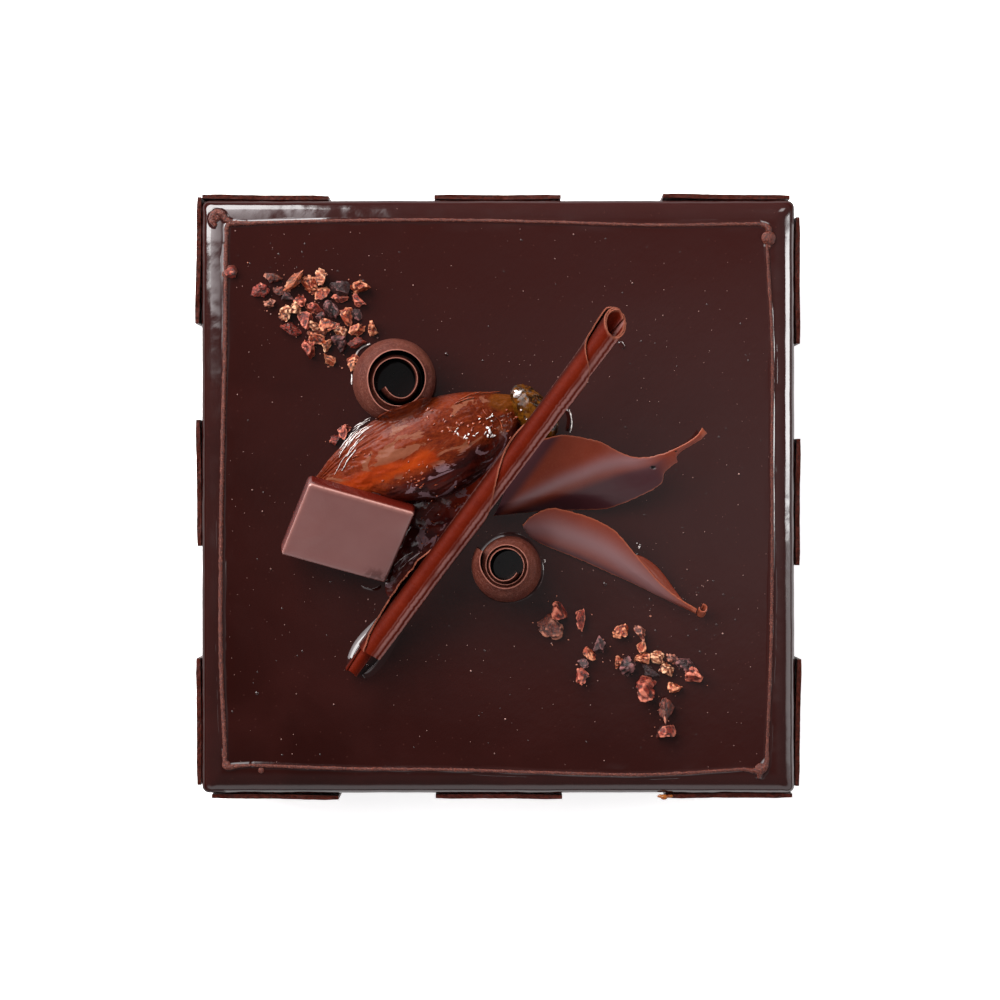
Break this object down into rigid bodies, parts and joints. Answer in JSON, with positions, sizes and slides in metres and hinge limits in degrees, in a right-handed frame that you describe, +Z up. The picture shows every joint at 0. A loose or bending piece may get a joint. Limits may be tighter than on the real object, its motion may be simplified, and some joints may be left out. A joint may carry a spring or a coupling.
{
  "type": "sacher torte",
  "caption": "Square chocolate-glazed sacher torte with a piped border, side tiles, candied apricot, a bare chocolate square, a rolled cigarette, curls, petals and cocoa nibs",
  "frame": {"origin": "centre of the cake's underside, on the surface that it stands on", "axes": "+Z up, +X to the picture's right, +Y to the picture's top"},
  "size_m": [0.1846, 0.1846, 0.0742],
  "materials": {
    "glaze": "mirror-glossy dark chocolate glaze",
    "piping": "satin piped chocolate",
    "cocoa_nibs": "rough broken cocoa nibs",
    "tile_chocolate": "satin dark chocolate with rough edges",
    "chocolate": "satin-gloss red-brown chocolate",
    "square_chocolate": "satin moulded chocolate",
    "candied_fruit": "wet syrupy candied apricot",
    "amber_fruit": "wet translucent amber apricot",
    "syrup": "dark clear syrup"
  },
  "bodies": {
    "root": {"glazed_cake": "glaze", "tile_front_1": "tile_chocolate", "tile_front_2": "tile_chocolate", "tile_front_3": "tile_chocolate", "tile_right_1": "tile_chocolate", "tile_right_2": "tile_chocolate", "tile_right_3": "tile_chocolate", "tile_back_1": "tile_chocolate", "tile_back_2": "tile_chocolate", "tile_back_3": "tile_chocolate", "tile_left_1": "tile_chocolate", "tile_left_2": "tile_chocolate", "tile_left_3": "tile_chocolate", "curl_1": "chocolate", "curl_2": "chocolate", "chocolate_cigarette": "chocolate", "chocolate_square": "square_chocolate", "petal_1": "chocolate", "petal_2": "chocolate", "candied_apricot": "candied_fruit", "amber_apricot_piece": "amber_fruit"}
  },
  "joints": []
}
